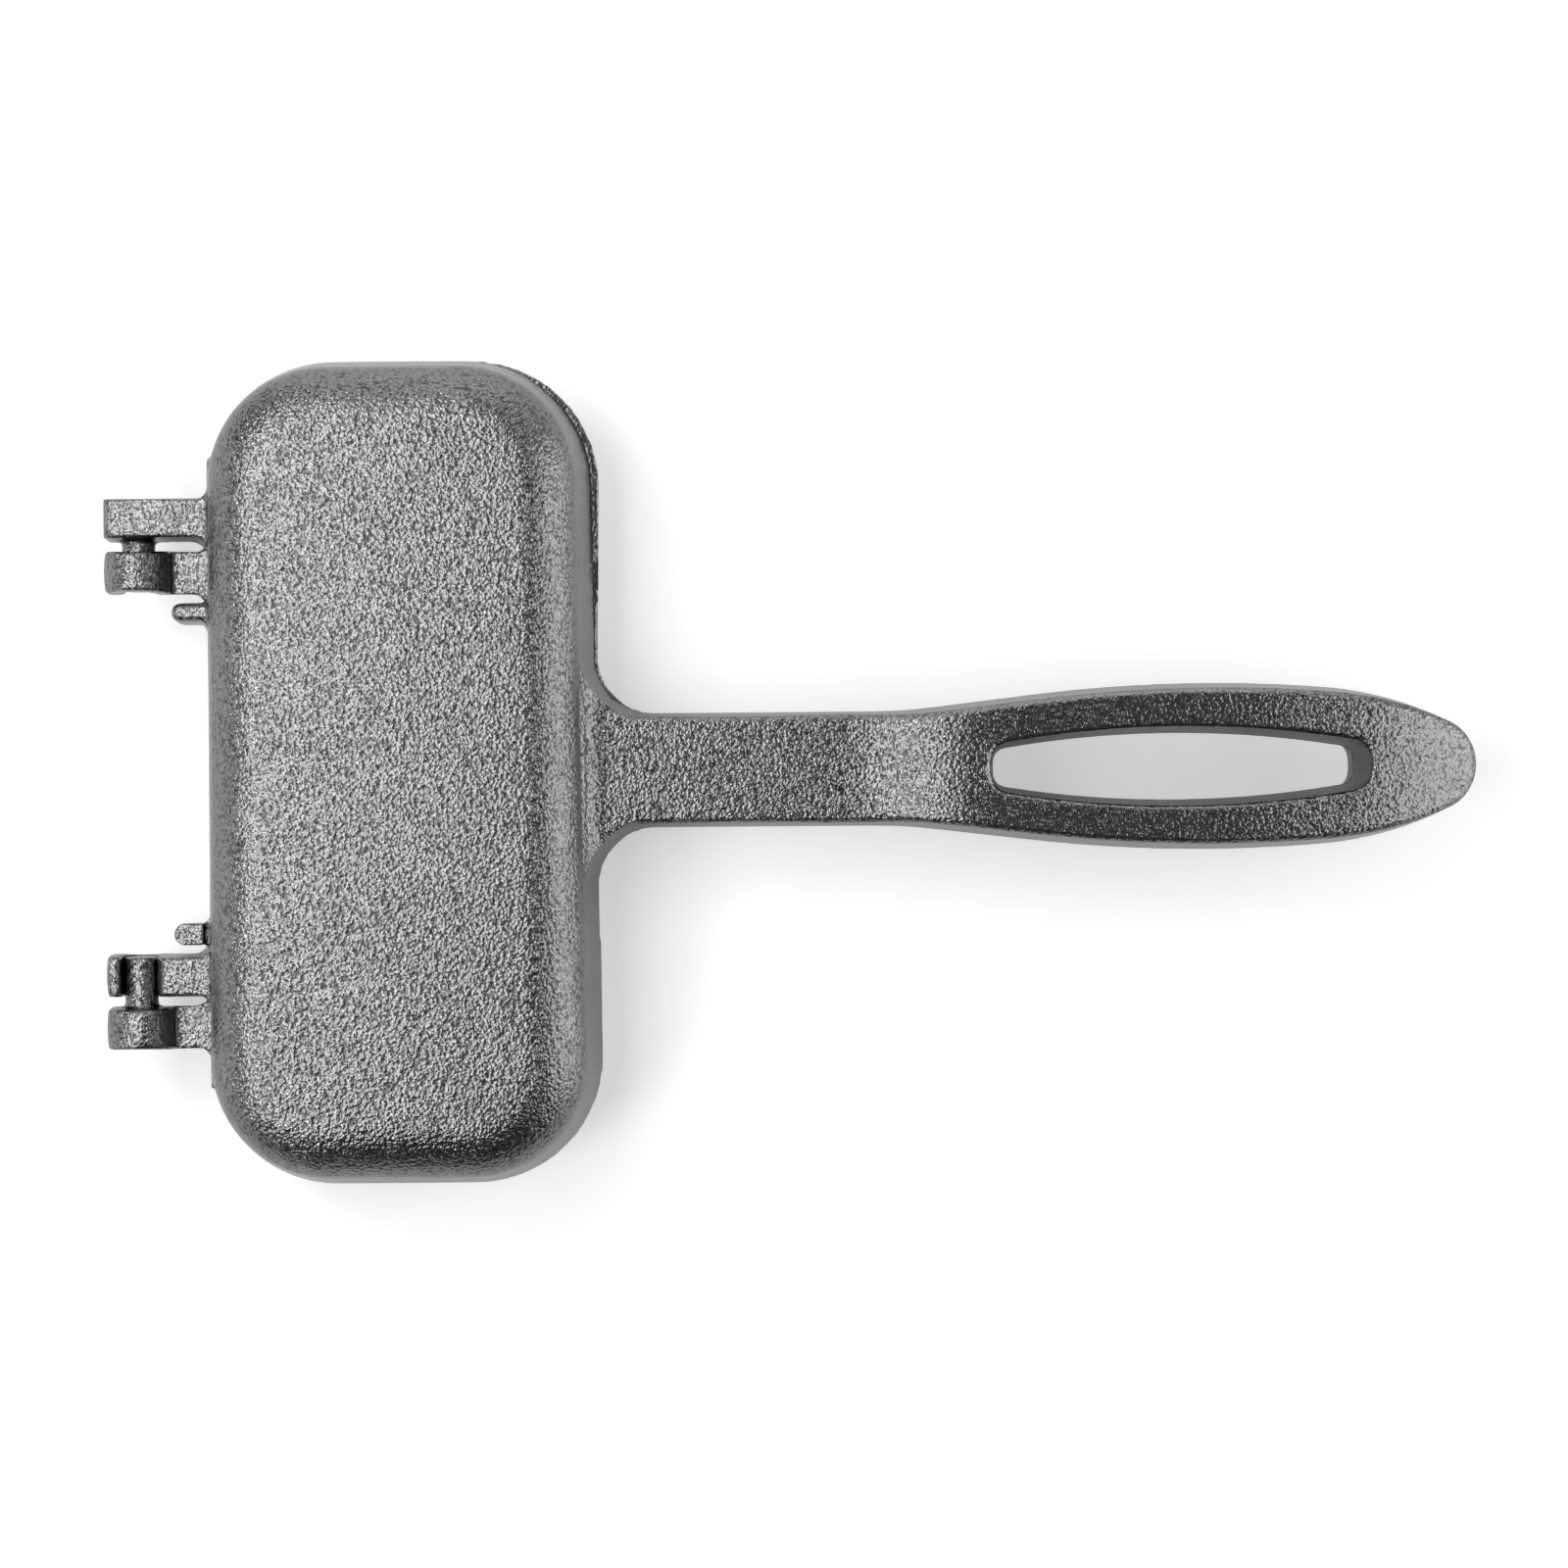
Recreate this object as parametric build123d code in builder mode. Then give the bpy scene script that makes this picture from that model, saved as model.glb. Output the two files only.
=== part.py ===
from build123d import *
from math import acos, atan, cos, degrees, radians, sqrt, tan
import os

# Sandwich iron of two castings that are alike, the lower one turned over about the handle's line.
# Each casting is drawn with its parting face at zero height, its pan rising above it, and is moved
# into place at the end: the origin is the middle of the lower plateau, and +X runs along the handle.

# Pan, seen from above: the handle's side of the rim is a little out of square
pan_length = 150.4
pan_back = 35.1
pan_front = 36.1
front_skew = 0.75
rim_corner = 23.2
pan_depth = 18
pan_draft = 12
shoulder_round = 10.5
plateau_wall = 4.5
rim_land = 5
cavity_round = 7.5

# Handle
parting_gap = 0.5
neck_width = 21.1
neck_height = 8
neck_root_round = 10.6
valley_round = 5.5
valley_overlap = 0.1
root_inset = 0.1
flare_start = 86.9
flare_round = 84.4
flare_angle = 6.75
flare_length = 19.2
belly_round = 268
belly_turn = 11.3
grip_shoulder_round = 63
grip_shoulder_turn = 21.4
handle_draft = 6
rise_start = 80
rise_length = 25
grip_height = 12.5
tip_slope_start = 171
tip_slope_round = 46.7
tip_slope_turn = 34
handle_edge_break = 0.8

# Finger hole, at its narrowest, which is the parting face
hole_start = 108.5
hole_end = 174.4
hole_width = 12
hole_end_width = 6.2
hole_corner = 2.5
hole_draft = 5.5
hole_edge_break = 0.5

# Hinge: its line lies in the parting plane
pin_line = -47.6
pin_radius = 3
pin_clearance = 0.2
barrel_radius = 6.1
lug_width = 8
lug_side_gap = 1.6
lug_draft = 5
lug_outer_round = 2
lug_inner_round = 3
lug_tip_round = 1.5
pin_lug_y = 46.4
lug_corner = 1.8
lug_edge_round = 0.8
lug_tip_lean = 0.9
pin_end_inset = 0.6
lip_height = 4.6
lip_top_thickness = 1.9
lip_round = 0.7
groove_mouth_start = 2
groove_mouth_reach = 5

# Side stop, which also reaches a little way past the parting plane
stop_y = 29.3
stop_width = 4
stop_tip = -41.3
stop_height = 5
stop_drop = 2
stop_rim_clearance = 0.9
stop_root_round = 1.6
stop_edge_break = 0.7

# Cutters run on past what they cut by the margin, and edges and corners are picked to the tolerance
cut_margin = 1
pick_tolerance = 0.01

# Sizes that follow from the ones above
half_length = pan_length / 2
front_slope = tan(radians(front_skew))
front_plane = Plane(origin=(0, 0, 0), x_dir=(1, front_slope, 0), z_dir=(front_slope, -1, 0))
wall_slope = tan(radians(pan_draft))
hole_middle = (hole_start + hole_end) / 2
cradle_y = -(pin_lug_y - lug_width - lug_side_gap)
groove_radius = pin_radius + pin_clearance
pin_length = lug_width + lug_side_gap - pin_end_inset
lug_root = -pan_back + rim_land / 2
neck_root = pan_front - rim_land / 2
valley_inside = neck_root - rim_land / 2
root_reach = -pan_back - lug_inner_round - lug_tip_round
stop_root_reach = -pan_back - 2 * stop_root_round

# Rim of the pan, seen from above
with BuildSketch() as rim_outline:
    with BuildLine():
        Polyline(
            (-pan_back, -half_length),
            (pan_front + front_slope * half_length, -half_length),
            (pan_front - front_slope * half_length, half_length),
            (-pan_back, half_length),
            close=True,
        )
    make_face()
    fillet(rim_outline.vertices(), rim_corner)

# Rim together with the start of the neck, with the broad fillets between them
with BuildSketch() as root_outline:
    add(rim_outline.sketch)
    with Locations((rise_start / 2, 0)):
        Rectangle(rise_start, neck_width)
    neck_corners = root_outline.vertices().filter_by(lambda v: abs(v.Y) < neck_width)
    fillet(neck_corners.sort_by(Axis.X)[:2], neck_root_round)

# Pan: a drafted pillow with a flat plateau and a rounded shoulder
with BuildPart() as pan:
    add(rim_outline.sketch)
    extrude(amount=pan_depth, taper=pan_draft)
    fillet(pan.faces().sort_by(Axis.Z)[-1].edges(), shoulder_round)

# Valley where the pan's rounded front runs down into the neck
shoulder_z = pan_depth - shoulder_round
shoulder_x = pan_front - wall_slope * shoulder_z - shoulder_round / cos(radians(pan_draft))
valley_z = neck_height + valley_round
valley_reach = shoulder_round + valley_round
valley_x = shoulder_x - valley_overlap + sqrt(valley_reach**2 - (valley_z - shoulder_z) ** 2)
valley_turn = degrees(acos((valley_z - shoulder_z) / valley_reach))
with BuildPart() as neck_valley:
    with BuildSketch():
        add(root_outline.sketch)
        offset(amount=-root_inset, mode=Mode.REPLACE)
    extrude(amount=valley_z, taper=pan_draft)
    with BuildSketch(front_plane):
        with BuildLine():
            bend = JernArc((valley_x, neck_height), (-1, 0), valley_round, -valley_turn)
            Polyline(
                bend @ 1,
                (valley_inside, (bend @ 1).Y),
                (valley_inside, 0),
                (rise_start - neck_width, 0),
                (rise_start - neck_width, neck_height),
                bend @ 0,
            )
        make_face()
    extrude(amount=half_length, both=True, mode=Mode.INTERSECT)

# Finger hole, widening away from the parting face
with BuildPart() as finger_hole:
    with BuildSketch() as hole_outline:
        with BuildLine():
            ThreePointArc(
                (hole_start, -hole_end_width / 2),
                (hole_middle, -hole_width / 2),
                (hole_end, -hole_end_width / 2),
            )
            Line((hole_end, -hole_end_width / 2), (hole_end, hole_end_width / 2))
            ThreePointArc(
                (hole_end, hole_end_width / 2),
                (hole_middle, hole_width / 2),
                (hole_start, hole_end_width / 2),
            )
            Line((hole_start, hole_end_width / 2), (hole_start, -hole_end_width / 2))
        make_face()
        fillet(hole_outline.vertices(), hole_corner)
    extrude(amount=grip_height + cut_margin, taper=-hole_draft)

# Handle: its outline from above, flaring from the neck to a blunt tip, and its side profile
rise = grip_height - neck_height
rise_round = (rise_length**2 + rise**2) / (4 * rise)
rise_turn = 2 * degrees(atan(rise / rise_length))
tip_angle = belly_turn + grip_shoulder_turn - flare_angle
with BuildPart() as handle:
    with BuildSketch():
        with BuildLine():
            side = Polyline((neck_root, 0), (neck_root, -neck_width / 2), (flare_start, -neck_width / 2))
            flare = JernArc(side @ 1, (1, 0), flare_round, -flare_angle)
            spread = PolarLine(flare @ 1, flare_length, -flare_angle)
            belly = JernArc(spread @ 1, spread % 1, belly_round, belly_turn)
            round_off = JernArc(belly @ 1, belly % 1, grip_shoulder_round, grip_shoulder_turn)
            tip_round = -(round_off @ 1).Y / cos(radians(tip_angle))
            JernArc(round_off @ 1, round_off % 1, tip_round, 90 - tip_angle)
            mirror(about=Plane.XZ)
        make_face()
    extrude(amount=grip_height + cut_margin, taper=handle_draft)
    with BuildSketch(Plane.XZ):
        with BuildLine():
            lift = JernArc((rise_start, neck_height), (1, 0), rise_round, rise_turn)
            level = JernArc(lift @ 1, lift % 1, rise_round, -rise_turn)
            Line(level @ 1, (tip_slope_start, grip_height))
            tip_slope = JernArc((tip_slope_start, grip_height), (1, 0), tip_slope_round, -tip_slope_turn)
            Polyline(
                tip_slope @ 1,
                ((tip_slope @ 1).X, parting_gap / 2),
                (neck_root, parting_gap / 2),
                (neck_root, neck_height),
                (rise_start, neck_height),
            )
        make_face()
    extrude(amount=neck_width, both=True, mode=Mode.INTERSECT)
    top_edges = [
        e
        for e in handle.edges()
        if e.bounding_box().min.Z > parting_gap
        and abs(e.center().Y) > pick_tolerance
        and e.center().X > neck_root + cut_margin
    ]
    chamfer(top_edges, handle_edge_break)
    add(finger_hole.part, mode=Mode.SUBTRACT)
    hole_reach = hole_width / 2 + grip_height * tan(radians(hole_draft)) + hole_edge_break
    hole_rim = [
        e
        for e in handle.edges()
        if e.bounding_box().min.Z > neck_height
        and -hole_reach < e.bounding_box().min.Y
        and e.bounding_box().max.Y < hole_reach
        and abs(e.center().X - hole_middle) < hole_end - hole_middle + hole_reach
    ]
    chamfer(hole_rim, hole_edge_break)

# Fillets between the pan's back wall and a lug, the broader one towards the handle's line
with BuildPart() as lug_flare:
    with BuildSketch() as lug_flare_outline:
        with Locations((lug_root, 0)):
            Rectangle(
                lug_root + pan_back,
                lug_width + 5 * lug_inner_round,
                align=(Align.MAX, Align.CENTER),
            )
            Rectangle(lug_root - root_reach, lug_width, align=(Align.MAX, Align.CENTER))
        outer_corner = (-pan_back, lug_width / 2, 0)
        fillet(lug_flare_outline.vertices().sort_by_distance(outer_corner)[0], lug_outer_round)
        inner_corner = (-pan_back, -lug_width / 2, 0)
        fillet(lug_flare_outline.vertices().sort_by_distance(inner_corner)[0], lug_inner_round)
    extrude(amount=barrel_radius, taper=pan_draft)

# Shape that every lug is cut to: rounded tip corners seen from above, and sides drafted both ways
lug_half_top = lug_width / 2 - barrel_radius * tan(radians(lug_draft))
with BuildPart() as lug_blank:
    with BuildSketch() as lug_outline:
        with Locations((lug_root, 0)):
            Rectangle(lug_root - pin_line + barrel_radius, lug_width, align=(Align.MAX, Align.CENTER))
        fillet(lug_outline.vertices().group_by(Axis.X)[0], lug_tip_round)
    extrude(amount=barrel_radius, both=True)
    with BuildSketch(Plane.YZ) as lug_section:
        with BuildLine():
            Polyline(
                (-lug_half_top, -barrel_radius),
                (lug_half_top, -barrel_radius),
                (lug_width / 2, 0),
                (lug_half_top, barrel_radius),
                (-lug_half_top, barrel_radius),
                (-lug_width / 2, 0),
                close=True,
            )
        make_face()
        fillet([v for v in lug_section.vertices() if abs(v.X) < lug_width / 2 - pick_tolerance], lug_edge_round)
    extrude(amount=pin_line - 2 * barrel_radius, both=True, mode=Mode.INTERSECT)

# Lug that carries the pin: square at the outer side, half-round past the parting plane
with BuildPart() as pin_lug:
    with BuildSketch(Plane.XZ) as pin_lug_profile:
        with Locations((pin_line, 0)):
            Circle(barrel_radius)
        with BuildLine():
            Polyline(
                (lug_root, 0),
                (lug_root, barrel_radius),
                (pin_line - barrel_radius + lug_tip_lean, barrel_radius),
                (pin_line - barrel_radius, 0),
                close=True,
            )
        make_face()
        fillet(
            pin_lug_profile.vertices().filter_by(lambda v: v.Y > barrel_radius - pick_tolerance).sort_by(Axis.X)[0],
            lug_corner,
        )
    extrude(amount=lug_width, both=True)
    add(lug_blank.part, mode=Mode.INTERSECT)
    with BuildSketch(Plane.XZ):
        with Locations((pin_line, 0)):
            Circle(pin_radius)
    extrude(amount=lug_width / 2 + pin_length)

# Lug with the cradle that holds the other casting's pin, open to the outer side
with BuildPart() as cradle_lug:
    with BuildSketch(Plane.XZ) as cradle_profile:
        with Locations((pin_line, 0)):
            Circle(barrel_radius)
        with Locations((lug_root, 0)):
            Rectangle(lug_root - pin_line, barrel_radius, align=(Align.MAX, Align.MIN))
        with BuildLine():
            Polyline(
                (pin_line - barrel_radius, 0),
                (pin_line - groove_radius - lip_top_thickness, lip_height),
                (pin_line, lip_height),
                (pin_line, 0),
                close=True,
            )
        make_face()
        with Locations((pin_line, 0)):
            Circle(groove_radius, mode=Mode.SUBTRACT)
        with BuildLine():
            Polyline(
                (pin_line - groove_radius, 0),
                (pin_line - groove_radius, lip_height),
                (pin_line - barrel_radius, lip_height),
                (pin_line - barrel_radius, lug_width),
                (pin_line + groove_mouth_reach, lug_width),
                (pin_line + groove_mouth_reach, barrel_radius),
                (pin_line + groove_radius, groove_mouth_start),
                (pin_line + groove_radius, 0),
                close=True,
            )
        make_face(mode=Mode.SUBTRACT)
        fillet([v for v in cradle_profile.vertices() if abs(v.Y - lip_height) < pick_tolerance], lip_round)
    extrude(amount=lug_width, both=True)
    add(lug_blank.part, mode=Mode.INTERSECT)

# Side stop: a rounded nub on the pan's back wall
with BuildPart() as side_stop:
    with BuildSketch(Plane.XY.offset(-stop_drop)):
        with Locations((stop_tip + stop_width / 2, 0)):
            Circle(stop_width / 2)
            Rectangle(
                -pan_back - stop_rim_clearance - stop_tip - stop_width / 2,
                stop_width,
                align=(Align.MIN, Align.CENTER),
            )
    extrude(amount=stop_drop)
    with BuildSketch() as stop_outline:
        with Locations((stop_tip + stop_width / 2, 0)):
            Circle(stop_width / 2)
            Rectangle(lug_root - stop_tip - stop_width / 2, stop_width, align=(Align.MIN, Align.CENTER))
    extrude(amount=stop_height, taper=lug_draft)
    stop_top_edges = side_stop.edges().group_by(Axis.Z)[-1]
    chamfer(stop_top_edges.filter_by(lambda e: e.center().X < -pan_back), stop_edge_break)
    with BuildSketch() as stop_flare_outline:
        with Locations((lug_root, 0)):
            Rectangle(
                lug_root + pan_back,
                stop_width + 5 * stop_root_round,
                align=(Align.MAX, Align.CENTER),
            )
            Rectangle(lug_root - stop_root_reach, stop_width, align=(Align.MAX, Align.CENTER))
        fillet(stop_flare_outline.vertices().sort_by_distance((-pan_back, 0, 0))[:2], stop_root_round)
    extrude(amount=stop_height - stop_edge_break, taper=pan_draft)

# One casting, still without its cavity
with BuildPart() as casting:
    add(pan.part)
    add(neck_valley.part)
    add(handle.part)
    with Locations((0, pin_lug_y, 0)):
        add(pin_lug.part)
        add(lug_flare.part)
    with Locations((0, cradle_y, 0)):
        add(cradle_lug.part)
        add(mirror(lug_flare.part, about=Plane.XZ, mode=Mode.PRIVATE))
    with Locations((0, stop_y, 0)):
        add(side_stop.part)

# Cavity, with a flat land left all round at the parting face
with BuildPart() as cavity:
    with BuildSketch():
        add(rim_outline.sketch)
        offset(amount=-rim_land, mode=Mode.REPLACE)
    extrude(amount=pan_depth - plateau_wall, taper=pan_draft)
    fillet(cavity.faces().sort_by(Axis.Z)[-1].edges(), cavity_round)

with BuildPart() as hollow_casting:
    add(casting.part)
    add(cavity.part, mode=Mode.SUBTRACT)

with BuildPart() as upper_half:
    with Locations((0, 0, pan_depth)):
        add(hollow_casting.part)

with BuildPart() as lower_half:
    with Locations(Location((0, 0, pan_depth), (180, 0, 0))):
        add(hollow_casting.part)

upper_half.part.label = "upper_half"
lower_half.part.label = "lower_half"

os.makedirs("parts", exist_ok=True)
export_step(upper_half.part, "parts/upper_half.step")
export_step(lower_half.part, "parts/lower_half.step")
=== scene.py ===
from math import ceil, pi, radians
import bmesh
import bpy
import numpy as np
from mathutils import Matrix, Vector
from mathutils.bvhtree import BVHTree
from mathutils.kdtree import KDTree


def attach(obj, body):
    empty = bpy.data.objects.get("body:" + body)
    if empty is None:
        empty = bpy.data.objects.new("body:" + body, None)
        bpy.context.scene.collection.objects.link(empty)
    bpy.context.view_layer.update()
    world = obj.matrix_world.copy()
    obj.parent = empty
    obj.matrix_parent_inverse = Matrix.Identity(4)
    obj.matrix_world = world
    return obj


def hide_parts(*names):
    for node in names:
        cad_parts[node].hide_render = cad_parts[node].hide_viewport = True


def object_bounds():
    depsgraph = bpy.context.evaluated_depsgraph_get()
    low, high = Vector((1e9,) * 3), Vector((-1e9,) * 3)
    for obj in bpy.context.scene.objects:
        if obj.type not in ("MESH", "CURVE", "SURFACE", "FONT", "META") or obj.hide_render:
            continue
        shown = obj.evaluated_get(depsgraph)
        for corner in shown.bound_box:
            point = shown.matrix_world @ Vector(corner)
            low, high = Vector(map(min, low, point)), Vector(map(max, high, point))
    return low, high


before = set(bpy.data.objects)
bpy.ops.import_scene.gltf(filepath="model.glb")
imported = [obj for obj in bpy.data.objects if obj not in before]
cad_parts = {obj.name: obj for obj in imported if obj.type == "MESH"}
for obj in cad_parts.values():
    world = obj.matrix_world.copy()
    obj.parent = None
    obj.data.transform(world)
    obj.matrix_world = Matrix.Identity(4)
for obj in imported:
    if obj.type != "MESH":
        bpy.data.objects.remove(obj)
cad_low, cad_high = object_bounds()

# Upper casting: the half-pan with its handle, lugs and side stop, poured in iron in one sand mould.
# The sand leaves an orange-peel skin, smoothest on the steep walls that the pattern was drawn past.
# It is oiled and baked until it turns an even dark grey, and hands wear its grip a bit smoother.
weld_gap = 0.000002
crisp_angle = radians(30)
skin_step = 0.0005
edge_step = 0.0001
edge_reach = 0.55 * skin_step
soften_reach = 0.0007
soften_share = 0.5
soften_rounds = 3
wear_reach = 0.0006
least_spread = 1e-24
smooth_level = 0.24
grainy_level = 0.5
parting_height = (cad_low.z + cad_high.z) / 2
land_band = 0.0004
land_level = 0.9
land_start = -0.034
land_grain = 0.1
grip_start = 0.09
grip_full = 0.115
grip_fade = 0.15
grip_end = 0.17
grip_polish = 0.5
face_limit = 190000


def welded_casting(node):
    """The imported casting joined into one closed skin, with its crisp edges marked."""
    skin = bmesh.new()
    skin.from_mesh(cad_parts[node].data)
    bmesh.ops.remove_doubles(skin, verts=skin.verts, dist=weld_gap)
    bmesh.ops.dissolve_degenerate(skin, edges=skin.edges, dist=weld_gap)
    bmesh.ops.triangulate(skin, faces=skin.faces)
    skin.verts.index_update()
    points = [v.co[:] for v in skin.verts]
    faces = [[v.index for v in f.verts] for f in skin.faces]
    skin.free()
    mesh = bpy.data.meshes.new(node + "_welded")
    mesh.from_pydata(points, [], faces)
    mesh.shade_smooth()
    mesh.set_sharp_from_angle(angle=crisp_angle)
    return mesh


def after_modifier(mesh, kind, node_inputs=(), **settings):
    """The plain mesh that one modifier makes of this one."""
    worker = bpy.data.objects.new("worker", mesh)
    bpy.context.scene.collection.objects.link(worker)
    change = worker.modifiers.new(kind, kind)
    for name, value in settings.items():
        setattr(change, name, value)
    for identifier, value in node_inputs:
        change[identifier] = value
    graph = bpy.context.evaluated_depsgraph_get()
    result = bpy.data.meshes.new_from_object(
        worker.evaluated_get(graph), preserve_all_data_layers=True, depsgraph=graph
    )
    bpy.data.objects.remove(worker)
    return result


def read_vectors(items, name):
    """A vector of each of the items, as rows."""
    values = np.empty(len(items) * 3, np.float32)
    items.foreach_get(name, values)
    return values.reshape(-1, 3).astype(float)


def rounded_out(points, ends, normals, shares):
    """Points on flat facets, lifted halfway to their corners' tangent planes, where an arc lies."""
    lift = np.zeros_like(points)
    for i in range(ends.shape[1]):
        offset = ((points - ends[:, i]) * normals[:, i]).sum(1, keepdims=True)
        lift -= shares[:, i:i + 1] * offset * normals[:, i] / 2
    return points + lift


def on_curved_surface(points, cage):
    """Each point moved onto the casting's true surface."""
    corners = read_vectors(cage.vertices, "co")
    triangles = np.array([p.vertices[:] for p in cage.polygons])
    normals = read_vectors(cage.corner_normals, "vector").reshape(-1, 3, 3)
    tree = BVHTree.FromPolygons(corners.tolist(), triangles.tolist())
    feet = np.empty_like(points)
    owners = np.empty(len(points), int)
    for i, point in enumerate(points.tolist()):
        foot, _, owner, _ = tree.find_nearest(point)
        feet[i] = foot
        owners[i] = owner
    ends = corners[triangles[owners]]
    along = ends[:, 1] - ends[:, 0]
    across = ends[:, 2] - ends[:, 0]
    inside = feet - ends[:, 0]
    aa, ac, cc = (along**2).sum(1), (along * across).sum(1), (across**2).sum(1)
    ai, ci = (along * inside).sum(1), (across * inside).sum(1)
    spread = np.maximum(aa * cc - ac**2, least_spread)
    second = (cc * ai - ac * ci) / spread
    third = (aa * ci - ac * ai) / spread
    shares = np.clip(np.stack([1 - second - third, second, third], 1), 0, 1)
    shares /= shares.sum(1, keepdims=True)
    return rounded_out(feet, ends, normals[owners], shares)


def crisp_edge_points(cage):
    """Points along the casting's crisp edges, and whether each lies on an outward one."""
    normals = read_vectors(cage.corner_normals, "vector")
    shell = bmesh.new()
    shell.from_mesh(cage)
    points, outward = [], []
    for edge in shell.edges:
        if len(edge.link_loops) != 2 or edge.calc_face_angle() < crisp_angle:
            continue
        start, end = (np.array(v.co) for v in edge.verts)
        count = ceil(np.linalg.norm(end - start) / edge_step)
        share = (np.arange(count) + 0.5) / count
        line = start + share[:, None] * (end - start)
        lifted = line.copy()
        for loop in edge.link_loops:
            first = loop.face.index * 3 + list(loop.face.loops).index(loop)
            second = loop.face.index * 3 + (list(loop.face.loops).index(loop) + 1) % 3
            if loop.vert != edge.verts[0]:
                first, second = second, first
            ends = np.broadcast_to(np.stack([start, end]), (count, 2, 3))
            tilts = np.broadcast_to(np.stack([normals[first], normals[second]]), (count, 2, 3))
            lifted += rounded_out(line, ends, tilts, np.stack([1 - share, share], 1)) - line
        points.append(lifted)
        outward.append(np.full(count, edge.calc_face_angle_signed() > 0))
    shell.free()
    return np.concatenate(points), np.concatenate(outward)


def nearest(points, targets):
    """For each point, the place of the nearest target and the distance to it."""
    tree = KDTree(len(targets))
    for i, target in enumerate(targets.tolist()):
        tree.insert(target, i)
    tree.balance()
    found = [tree.find(point) for point in points.tolist()]
    return np.array([f[0][:] for f in found]), np.array([f[2] for f in found])


def smooth_ramp(values, low, high):
    """0 up to low and 1 from high on, with a soft step between them."""
    share = np.clip((values - low) / (high - low), 0, 1)
    return share * share * (3 - 2 * share)


def write_value(mesh, name, values):
    """Stores one number per point of the mesh under that name."""
    stored = mesh.attributes.new(name, "FLOAT", "POINT")
    stored.data.foreach_set("value", values.astype(np.float32))


def fine_skin(node):
    """The casting as an even fine mesh on its true surface, with masks for grain and worn edges."""
    cage = after_modifier(
        welded_casting(node), "WEIGHTED_NORMAL", mode="FACE_AREA", keep_sharp=True
    )
    mesh = after_modifier(
        cage, "REMESH", mode="VOXEL", voxel_size=skin_step, use_smooth_shade=True
    )
    points = on_curved_surface(read_vectors(mesh.vertices, "co"), cage)
    edge_points, outward = crisp_edge_points(cage)
    edge_place, edge_gap = nearest(points, edge_points)
    near = edge_gap < edge_reach
    points[near] = edge_place[near]
    pairs = np.empty(len(mesh.edges) * 2, np.int32)
    mesh.edges.foreach_get("vertices", pairs)
    pairs = pairs.reshape(-1, 2)
    count = np.bincount(pairs.ravel(), minlength=len(points))[:, None]
    soft = soften_share * (1 - smooth_ramp(edge_gap, soften_reach / 2, soften_reach))[:, None]
    for _ in range(soften_rounds):
        around = np.zeros_like(points)
        np.add.at(around, pairs[:, 0], points[pairs[:, 1]])
        np.add.at(around, pairs[:, 1], points[pairs[:, 0]])
        points += soft * (around / count - points)
    mesh.vertices.foreach_set("co", points.astype(np.float32).ravel())
    mesh.update()
    level = np.abs(read_vectors(mesh.vertex_normals, "vector")[:, 2])
    at_parting = np.abs(points[:, 2] - parting_height) < land_band
    on_land = at_parting & (level > land_level) & (points[:, 0] > land_start)
    reached = smooth_ramp(points[:, 0], grip_start, grip_full)
    held = grip_polish * (reached - smooth_ramp(points[:, 0], grip_fade, grip_end))
    sandy = smooth_ramp(level, smooth_level, grainy_level) * np.where(on_land, land_grain, 1)
    write_value(mesh, "grain", sandy * (1 - held))
    _, wear_gap = nearest(points, edge_points[outward])
    write_value(mesh, "edge", 1 - smooth_ramp(wear_gap, 0, wear_reach))
    return mesh


skin_tree = bpy.data.node_groups.new("cast_skin", "GeometryNodeTree")
for socket_name, socket_kind in (
    ("Casting", "NodeSocketGeometry"),
    ("Wave size", "NodeSocketFloat"),
    ("Wave height", "NodeSocketFloat"),
    ("Grain size", "NodeSocketFloat"),
    ("Grain height", "NodeSocketFloat"),
    ("Seed", "NodeSocketFloat"),
    ("Iron", "NodeSocketMaterial"),
):
    skin_tree.interface.new_socket(socket_name, in_out="INPUT", socket_type=socket_kind)
skin_tree.interface.new_socket("Casting", in_out="OUTPUT", socket_type="NodeSocketGeometry")


def add_node(tree, kind, **settings):
    """A new node of this kind in the tree, with these settings."""
    node = tree.nodes.new(kind)
    for name, value in settings.items():
        setattr(node, name, value)
    return node


def feed(tree, node, name, source):
    """Puts a number, colour or another node's output on this input of the node."""
    socket = node.inputs[name]
    if isinstance(source, bpy.types.NodeSocket):
        tree.links.new(source, socket)
    else:
        socket.default_value = source


def math_node(tree, operation, *sources):
    """The output of a Math node fed with these."""
    node = add_node(tree, "ShaderNodeMath", operation=operation)
    for i, source in enumerate(sources):
        feed(tree, node, i, source)
    return node.outputs[0]


skin_in = add_node(skin_tree, "NodeGroupInput").outputs
place = add_node(skin_tree, "GeometryNodeInputPosition").outputs[0]


def skin_noise(size, seed_shift):
    """Noise from -0.5 to 0.5 whose lumps have this size."""
    noise = add_node(skin_tree, "ShaderNodeTexNoise", noise_dimensions="4D")
    feed(skin_tree, noise, "Vector", place)
    feed(skin_tree, noise, "Scale", math_node(skin_tree, "DIVIDE", 1, size))
    feed(skin_tree, noise, "W", math_node(skin_tree, "ADD", skin_in["Seed"], seed_shift))
    feed(skin_tree, noise, "Detail", 1.0)
    return math_node(skin_tree, "SUBTRACT", noise.outputs[0], 0.5)


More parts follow.
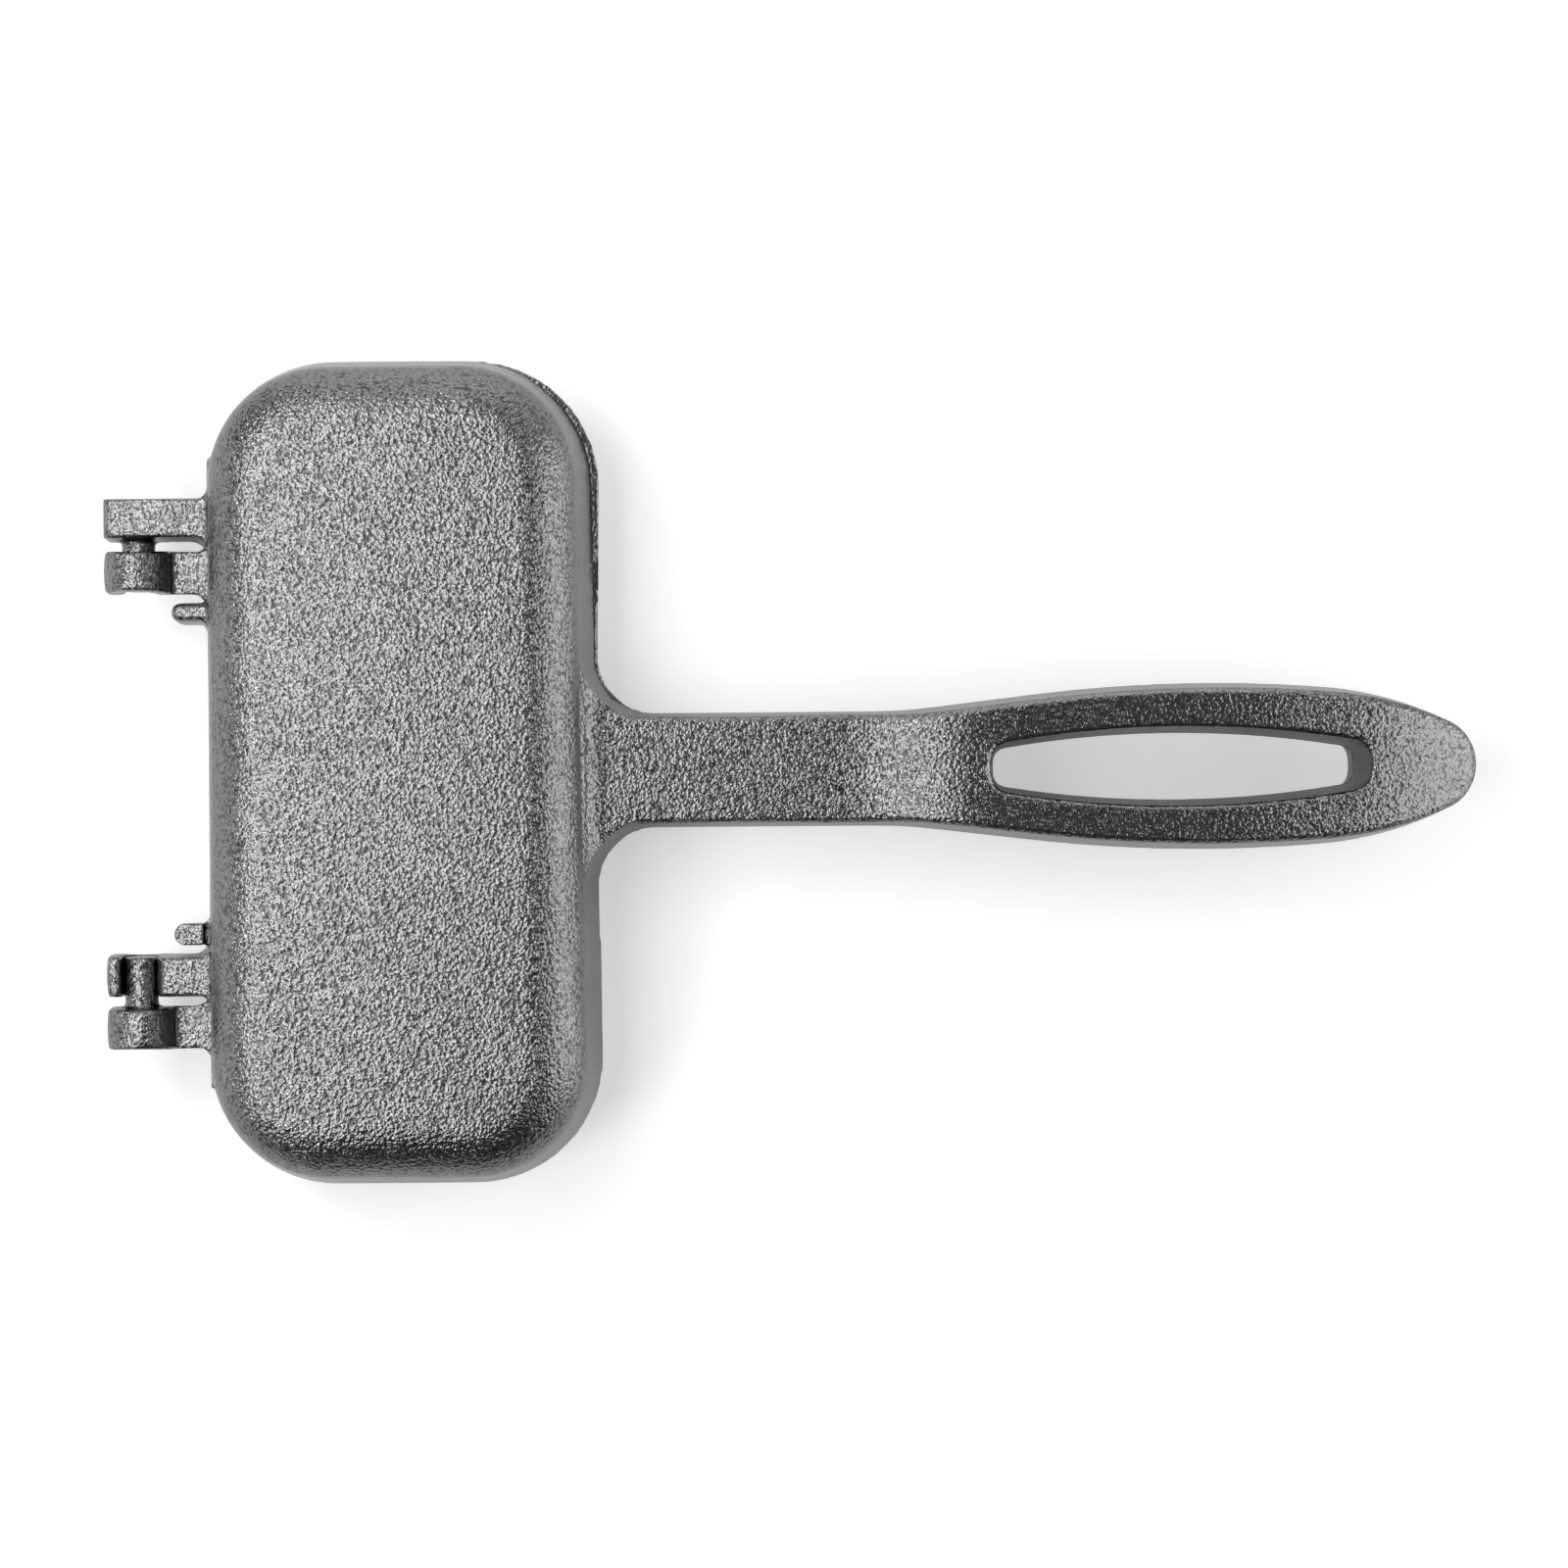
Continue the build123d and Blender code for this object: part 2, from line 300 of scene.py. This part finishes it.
grain_seed_shift = 7
grain_mask = add_node(skin_tree, "GeometryNodeInputNamedAttribute", data_type="FLOAT")
feed(skin_tree, grain_mask, "Name", "grain")
wave_noise = skin_noise(skin_in["Wave size"], 0)
grain_noise = skin_noise(skin_in["Grain size"], grain_seed_shift)
waves = math_node(skin_tree, "MULTIPLY", wave_noise, skin_in["Wave height"])
grains = math_node(skin_tree, "MULTIPLY", grain_noise, skin_in["Grain height"])
lumps = math_node(skin_tree, "ADD", waves, grains)
relief = math_node(skin_tree, "MULTIPLY", lumps, grain_mask.outputs[0])
outward_push = add_node(skin_tree, "ShaderNodeVectorMath", operation="SCALE")
feed(skin_tree, outward_push, 0, add_node(skin_tree, "GeometryNodeInputNormal").outputs[0])
feed(skin_tree, outward_push, "Scale", relief)
raised = add_node(skin_tree, "GeometryNodeSetPosition")
feed(skin_tree, raised, "Geometry", skin_in["Casting"])
feed(skin_tree, raised, "Offset", outward_push.outputs[0])
realized = add_node(skin_tree, "GeometryNodeRealizeInstances")
feed(skin_tree, realized, "Geometry", raised.outputs[0])
coated = add_node(skin_tree, "GeometryNodeSetMaterial")
feed(skin_tree, coated, "Geometry", realized.outputs[0])
feed(skin_tree, coated, "Material", skin_in["Iron"])
feed(skin_tree, add_node(skin_tree, "NodeGroupOutput"), "Casting", coated.outputs[0])

wave_size = 0.0022
wave_height = 0.00008
grain_size = 0.0011
grain_height = 0.00007
pit_depth = 0.9
pit_start = 0.05
pit_full = -0.25
bump_share = 0.6
mottle_share = 0.12
least_grain = 0.2

grain_group = bpy.data.node_groups.new("sand_grain", "ShaderNodeTree")
for socket_name, socket_kind, direction in (
    ("Size", "NodeSocketFloat", "INPUT"),
    ("Mask", "NodeSocketFloat", "INPUT"),
    ("Height", "NodeSocketFloat", "OUTPUT"),
    ("Pit shade", "NodeSocketFloat", "OUTPUT"),
    ("Mottle", "NodeSocketFloat", "OUTPUT"),
):
    grain_group.interface.new_socket(socket_name, in_out=direction, socket_type=socket_kind)
grain_in = add_node(grain_group, "NodeGroupInput").outputs
on_casting = add_node(grain_group, "ShaderNodeTexCoord").outputs["Object"]
pits = add_node(grain_group, "ShaderNodeTexVoronoi", feature="SMOOTH_F1")
bumps = add_node(grain_group, "ShaderNodeTexNoise")
mottle = add_node(grain_group, "ShaderNodeTexNoise")
for texture, share in ((pits, 1), (bumps, 1 / bump_share), (mottle, mottle_share)):
    feed(grain_group, texture, "Vector", on_casting)
    feed(grain_group, texture, "Scale", math_node(grain_group, "DIVIDE", share, grain_in["Size"]))
feed(grain_group, pits, "Smoothness", 0.4)
feed(grain_group, bumps, "Detail", 1.0)
feed(grain_group, mottle, "Detail", 3.0)
sunk = math_node(grain_group, "MULTIPLY", pits.outputs["Distance"], -pit_depth)
height = math_node(grain_group, "ADD", sunk, bumps.outputs[0])
# How deep each point lies in a pit, as the mask of the painted shade in the colour.
depth = add_node(grain_group, "ShaderNodeMapRange", interpolation_type="SMOOTHSTEP")
feed(grain_group, depth, "Value", height)
feed(grain_group, depth, "From Min", pit_start)
feed(grain_group, depth, "From Max", pit_full)
painted_pit_shade = math_node(grain_group, "MULTIPLY", depth.outputs[0], grain_in["Mask"])
mask = math_node(grain_group, "MULTIPLY", grain_in["Mask"], 1 - least_grain)
mask = math_node(grain_group, "ADD", mask, least_grain)
grain_out = add_node(grain_group, "NodeGroupOutput")
feed(grain_group, grain_out, "Height", math_node(grain_group, "MULTIPLY", height, mask))
feed(grain_group, grain_out, "Pit shade", painted_pit_shade)
feed(grain_group, grain_out, "Mottle", mottle.outputs[0])


def mixed_colour(tree, share, low, high):
    """A colour between two, by share."""
    node = add_node(tree, "ShaderNodeMix", data_type="RGBA")
    feed(tree, node, 0, share)
    feed(tree, node, 6, low)
    feed(tree, node, 7, high)
    return node.outputs[2]


iron_dark = (0.205, 0.209, 0.207, 1)
iron_light = (0.27, 0.275, 0.273, 1)
# The colour of the painted shade in the grain's pits, where shade falls between the lumps.
pit_shade_colour = (0.10, 0.102, 0.102, 1)
bare_iron = (0.45, 0.45, 0.44, 1)
bump_size = 0.00072
bump_depth = 0.00018
speck_scale = 1600.0
speck_limit = 0.56
wear_strength = 0.5

seasoned_iron = bpy.data.materials.new("seasoned_iron")
seasoned_iron.use_nodes = True
iron = seasoned_iron.node_tree
iron.nodes.clear()
grain = add_node(iron, "ShaderNodeGroup", node_tree=grain_group)
grain_attribute = add_node(iron, "ShaderNodeAttribute", attribute_name="grain").outputs["Fac"]
edge_attribute = add_node(iron, "ShaderNodeAttribute", attribute_name="edge").outputs["Fac"]
feed(iron, grain, "Size", bump_size)
feed(iron, grain, "Mask", grain_attribute)
speck = add_node(iron, "ShaderNodeTexNoise")
feed(iron, speck, "Vector", add_node(iron, "ShaderNodeTexCoord").outputs["Object"])
feed(iron, speck, "Scale", speck_scale)
bare = math_node(iron, "GREATER_THAN", speck.outputs[0], speck_limit)
worn = math_node(iron, "MULTIPLY", edge_attribute, bare)
worn = math_node(iron, "MULTIPLY", worn, wear_strength)
raised_colour = mixed_colour(iron, grain.outputs["Mottle"], iron_dark, iron_light)
# Painted shade: the grain's pits are coloured darker than its lumps.
skin_colour = mixed_colour(iron, grain.outputs["Pit shade"], raised_colour, pit_shade_colour)
colour = mixed_colour(iron, worn, skin_colour, bare_iron)
bump = add_node(iron, "ShaderNodeBump")
feed(iron, bump, "Height", grain.outputs["Height"])
feed(iron, bump, "Distance", bump_depth)
shader = add_node(iron, "ShaderNodeBsdfPrincipled")
feed(iron, shader, "Base Color", colour)
feed(iron, shader, "Metallic", 1.0)
feed(iron, shader, "Roughness", 0.23)
feed(iron, shader, "Normal", bump.outputs[0])
feed(iron, add_node(iron, "ShaderNodeOutputMaterial"), "Surface", shader.outputs[0])


def dress_casting(name, node, body, seed):
    """Makes the finished casting that stands for a node."""
    values = {
        "Wave size": wave_size,
        "Wave height": wave_height,
        "Grain size": grain_size,
        "Grain height": grain_height,
        "Seed": seed,
        "Iron": seasoned_iron,
    }
    node_inputs = [
        (socket.identifier, values[socket.name])
        for socket in skin_tree.interface.items_tree
        if socket.in_out == "INPUT" and socket.name in values
    ]
    grown = after_modifier(fine_skin(node), "NODES", node_inputs, node_group=skin_tree)
    triangles = sum(len(p.vertices) - 2 for p in grown.polygons)
    light = after_modifier(grown, "DECIMATE", ratio=min(1, face_limit / triangles))
    light.shade_smooth()
    piece = bpy.data.objects.new(name, light)
    bpy.context.scene.collection.objects.link(piece)
    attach(piece, body)
    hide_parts(node)


dress_casting("upper_casting", "upper_half", "upper", 3.0)

# Lower casting: the same pattern, turned over about the handle's line to hook into the upper one.
# It has the same iron and the same skin, and only its rim peeps out from under the upper half.
dress_casting("lower_casting", "lower_half", "lower", 11.0)

# Studio: a dark room and a white table top, whose glow only the camera sees, fading into white.
# Softboxes hang left and right of the camera and stand low round the table, so what faces
# straight up reflects the dark between them.
floor_size = 3.0
paper_grey = 0.84
table_glow = 0.38
fade_start = 0.25
fade_end = 0.7
room_grey = 0.062
hang_height = 0.40
stand_height = 0.15
floor_mesh = bpy.data.meshes.new("table_top")
half = floor_size / 2
floor_mesh.from_pydata(
    [(-half, -half, 0), (half, -half, 0), (half, half, 0), (-half, half, 0)], [], [(0, 1, 2, 3)]
)
floor = bpy.data.objects.new("table_top", floor_mesh)
bpy.context.scene.collection.objects.link(floor)
paper = bpy.data.materials.new("white_paper")
paper.use_nodes = True
sheet = paper.node_tree
sheet.nodes.clear()
matt = add_node(sheet, "ShaderNodeBsdfDiffuse")
feed(sheet, matt, "Color", (paper_grey, paper_grey, paper_grey, 1))
glow = add_node(sheet, "ShaderNodeEmission")
feed(sheet, glow, "Color", (1, 1, 1, 1))
out_from_middle = add_node(sheet, "ShaderNodeVectorMath", operation="LENGTH")
feed(sheet, out_from_middle, 0, add_node(sheet, "ShaderNodeTexCoord").outputs["Object"])
fade = add_node(sheet, "ShaderNodeMapRange", interpolation_type="SMOOTHSTEP")
feed(sheet, fade, "Value", out_from_middle.outputs["Value"])
feed(sheet, fade, "From Min", fade_start)
feed(sheet, fade, "From Max", fade_end)
feed(sheet, fade, "To Min", table_glow)
feed(sheet, fade, "To Max", 1.0)
seen_directly = add_node(sheet, "ShaderNodeLightPath").outputs["Is Camera Ray"]
feed(sheet, glow, "Strength", math_node(sheet, "MULTIPLY", seen_directly, fade.outputs[0]))
both = add_node(sheet, "ShaderNodeAddShader")
sheet.links.new(matt.outputs[0], both.inputs[0])
sheet.links.new(glow.outputs[0], both.inputs[1])
feed(sheet, add_node(sheet, "ShaderNodeOutputMaterial"), "Surface", both.outputs[0])
floor_mesh.materials.append(paper)

world = bpy.data.worlds.new("room")
world.use_nodes = True
bpy.context.scene.world = world
room = world.node_tree
room.nodes.clear()
seen = add_node(room, "ShaderNodeBackground")
feed(room, seen, "Color", (1, 1, 1, 1))
around = add_node(room, "ShaderNodeBackground")
feed(room, around, "Color", (room_grey, room_grey, room_grey, 1))
room_rays = add_node(room, "ShaderNodeLightPath").outputs
choose = add_node(room, "ShaderNodeMixShader")
feed(room, choose, 0, room_rays["Is Camera Ray"])
room.links.new(around.outputs[0], choose.inputs[1])
room.links.new(seen.outputs[0], choose.inputs[2])
feed(room, add_node(room, "ShaderNodeOutputWorld"), "Surface", choose.outputs[0])


def softbox(name, place, aim, width, height, brightness):
    """A rectangular lamp of this brightness that faces the point it is aimed at."""
    lamp = bpy.data.lights.new(name, "AREA")
    lamp.shape = "RECTANGLE"
    lamp.size = width
    lamp.size_y = height
    lamp.energy = brightness * pi * width * height
    box = bpy.data.objects.new(name, lamp)
    bpy.context.scene.collection.objects.link(box)
    box.location = place
    box.rotation_euler = (Vector(aim) - Vector(place)).to_track_quat("-Z", "Y").to_euler()


softbox("near_left_softbox", (-0.105, 0.06, hang_height), (-0.105, 0.06, 0), 0.17, 0.42, 3.60)
softbox("north_left_softbox", (-0.26, 0.22, hang_height), (-0.26, 0.22, 0), 0.14, 0.20, 7.11)
softbox("south_left_softbox", (-0.26, -0.22, hang_height), (-0.26, -0.22, 0), 0.14, 0.20, 8.61)
softbox("right_softbox", (0.56, 0, hang_height), (0.56, 0, 0), 0.46, 0.60, 2.20)
softbox("high_north_softbox", (0.07, 0.5, hang_height), (0.07, 0.4, 0), 0.50, 0.30, 0.84)
softbox("low_left_softbox", (-0.70, 0, stand_height), (0, 0, 0.02), 0.90, 0.30, 1.29)
softbox("low_right_softbox", (0.85, 0, stand_height), (0, 0, 0.02), 0.90, 0.30, 2.72)
softbox("low_north_softbox", (0.07, 0.7, stand_height), (0.07, 0, 0.02), 0.90, 0.30, 1.44)

# Camera: straight above, at the distance that the parallax of the photographed edges gives.
view_centre = (0.0702, -0.0027)
view_height = 0.560
view_width = 0.28704
view_roll = radians(-0.45)
sensor = 36.0
camera_data = bpy.data.cameras.new("camera")
camera_data.sensor_width = sensor
camera_data.lens = sensor * view_height / view_width
camera = bpy.data.objects.new("camera", camera_data)
bpy.context.scene.collection.objects.link(camera)
camera.location = (view_centre[0], view_centre[1], parting_height + view_height)
camera.rotation_euler = (0, 0, view_roll)
bpy.context.scene.camera = camera
bpy.context.scene.view_settings.view_transform = "Standard"
